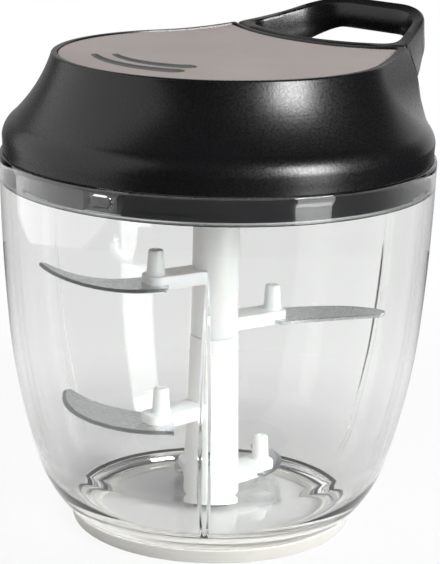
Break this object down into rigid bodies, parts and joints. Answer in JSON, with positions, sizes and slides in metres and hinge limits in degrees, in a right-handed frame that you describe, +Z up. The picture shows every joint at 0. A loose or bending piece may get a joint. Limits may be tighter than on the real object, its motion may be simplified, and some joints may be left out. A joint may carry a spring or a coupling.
{
  "type": "pull-cord food chopper",
  "caption": "Hand food chopper: clear bowl, column of curved blades inside, black lid whose handle pulls a cord that winds itself back.",
  "frame": {"origin": "centre of the foot ring's underside, on the table", "axes": "+Z up along the bowl's axis, +X the way the handle is pulled"},
  "size_m": [0.1349, 0.1258, 0.1486],
  "materials": {
    "clear_plastic": "clear, glossy inside and out",
    "black_plastic": "satin gloss with a fine moulded grain",
    "taupe_panel": "matt, with a fine grain and two shallow finger grooves",
    "milky_plastic": "milky white, slightly translucent",
    "white_silicone": "matt off-white silicone",
    "clear_silicone": "translucent silicone",
    "blade_steel": "polished flat, with a ground edge",
    "pin_steel": "ground",
    "screw_steel": "zinc plated",
    "spring_steel": "blued spring strip and wire",
    "reel_plastic": "natural acetal",
    "clutch_plastic": "dark acetal",
    "bush_plastic": "bearing plastic",
    "eyelet_metal": "plain eyelet",
    "cord_fibre": "braided cord"
  },
  "bodies": {
    "bowl": {"bowl": "clear_plastic", "foot_ring": "white_silicone", "spindle_pin": "pin_steel"},
    "seal": {"seal_ring": "clear_silicone"},
    "lid": {"lid_shell": "black_plastic", "grip_panel": "taupe_panel", "lid_base": "black_plastic", "cover_screws": "screw_steel", "axle_pin": "pin_steel", "power_spring": "spring_steel", "spring_arbor": "clutch_plastic", "shaft_bush": "bush_plastic", "cord_eyelet": "eyelet_metal"},
    "handle": {"handle": "black_plastic", "cord_knot": "cord_fibre", "knot_cap": "black_plastic", "pull_cord": "cord_fibre"},
    "reel": {"reel": "reel_plastic", "cord_winding": "cord_fibre", "clutch_plate": "clutch_plastic", "clutch_spring": "spring_steel", "drive_shaft": "clutch_plastic", "retaining_ring": "spring_steel"},
    "blades": {"lower_carrier": "milky_plastic", "upper_carrier": "milky_plastic", "blade_1": "blade_steel", "blade_2": "blade_steel", "blade_3": "blade_steel", "blade_4": "blade_steel", "blade_5": "blade_steel", "blade_pins": "milky_plastic"}
  },
  "joints": [
    {"name": "lid_lift", "type": "slide", "parent": "bowl", "child": "seal", "axis": [0, 0, 1], "range_m": [0, 0.15]},
    {"name": "lid_twist", "type": "hinge", "parent": "seal", "child": "lid", "pos_m": [0, 0, 0.1041], "axis": [0, 0, -1], "range_deg": [0, 24]},
    {"name": "handle_pull", "type": "slide", "parent": "lid", "child": "handle", "axis": [1, 0, 0], "range_m": [0, 0.35], "stiffness_N_per_m": 4, "springref_m": -0.02, "deforming": ["pull_cord"]},
    {"name": "reel_spin", "type": "hinge", "parent": "lid", "child": "reel", "pos_m": [0, 0, 0.13], "axis": [0, 0, 1], "range_deg": [-5, 900]},
    {"name": "blade_spin", "type": "hinge", "parent": "bowl", "child": "blades", "pos_m": [0, 0, 0.024], "axis": [0, 0, 1], "range_deg": [-5, 900]}
  ],
  "couplings": [
    {"joint": "reel_spin", "follows": "handle_pull", "rad_per_m": 44.444},
    {"joint": "blade_spin", "follows": "handle_pull", "rad_per_m": 44.444}
  ]
}
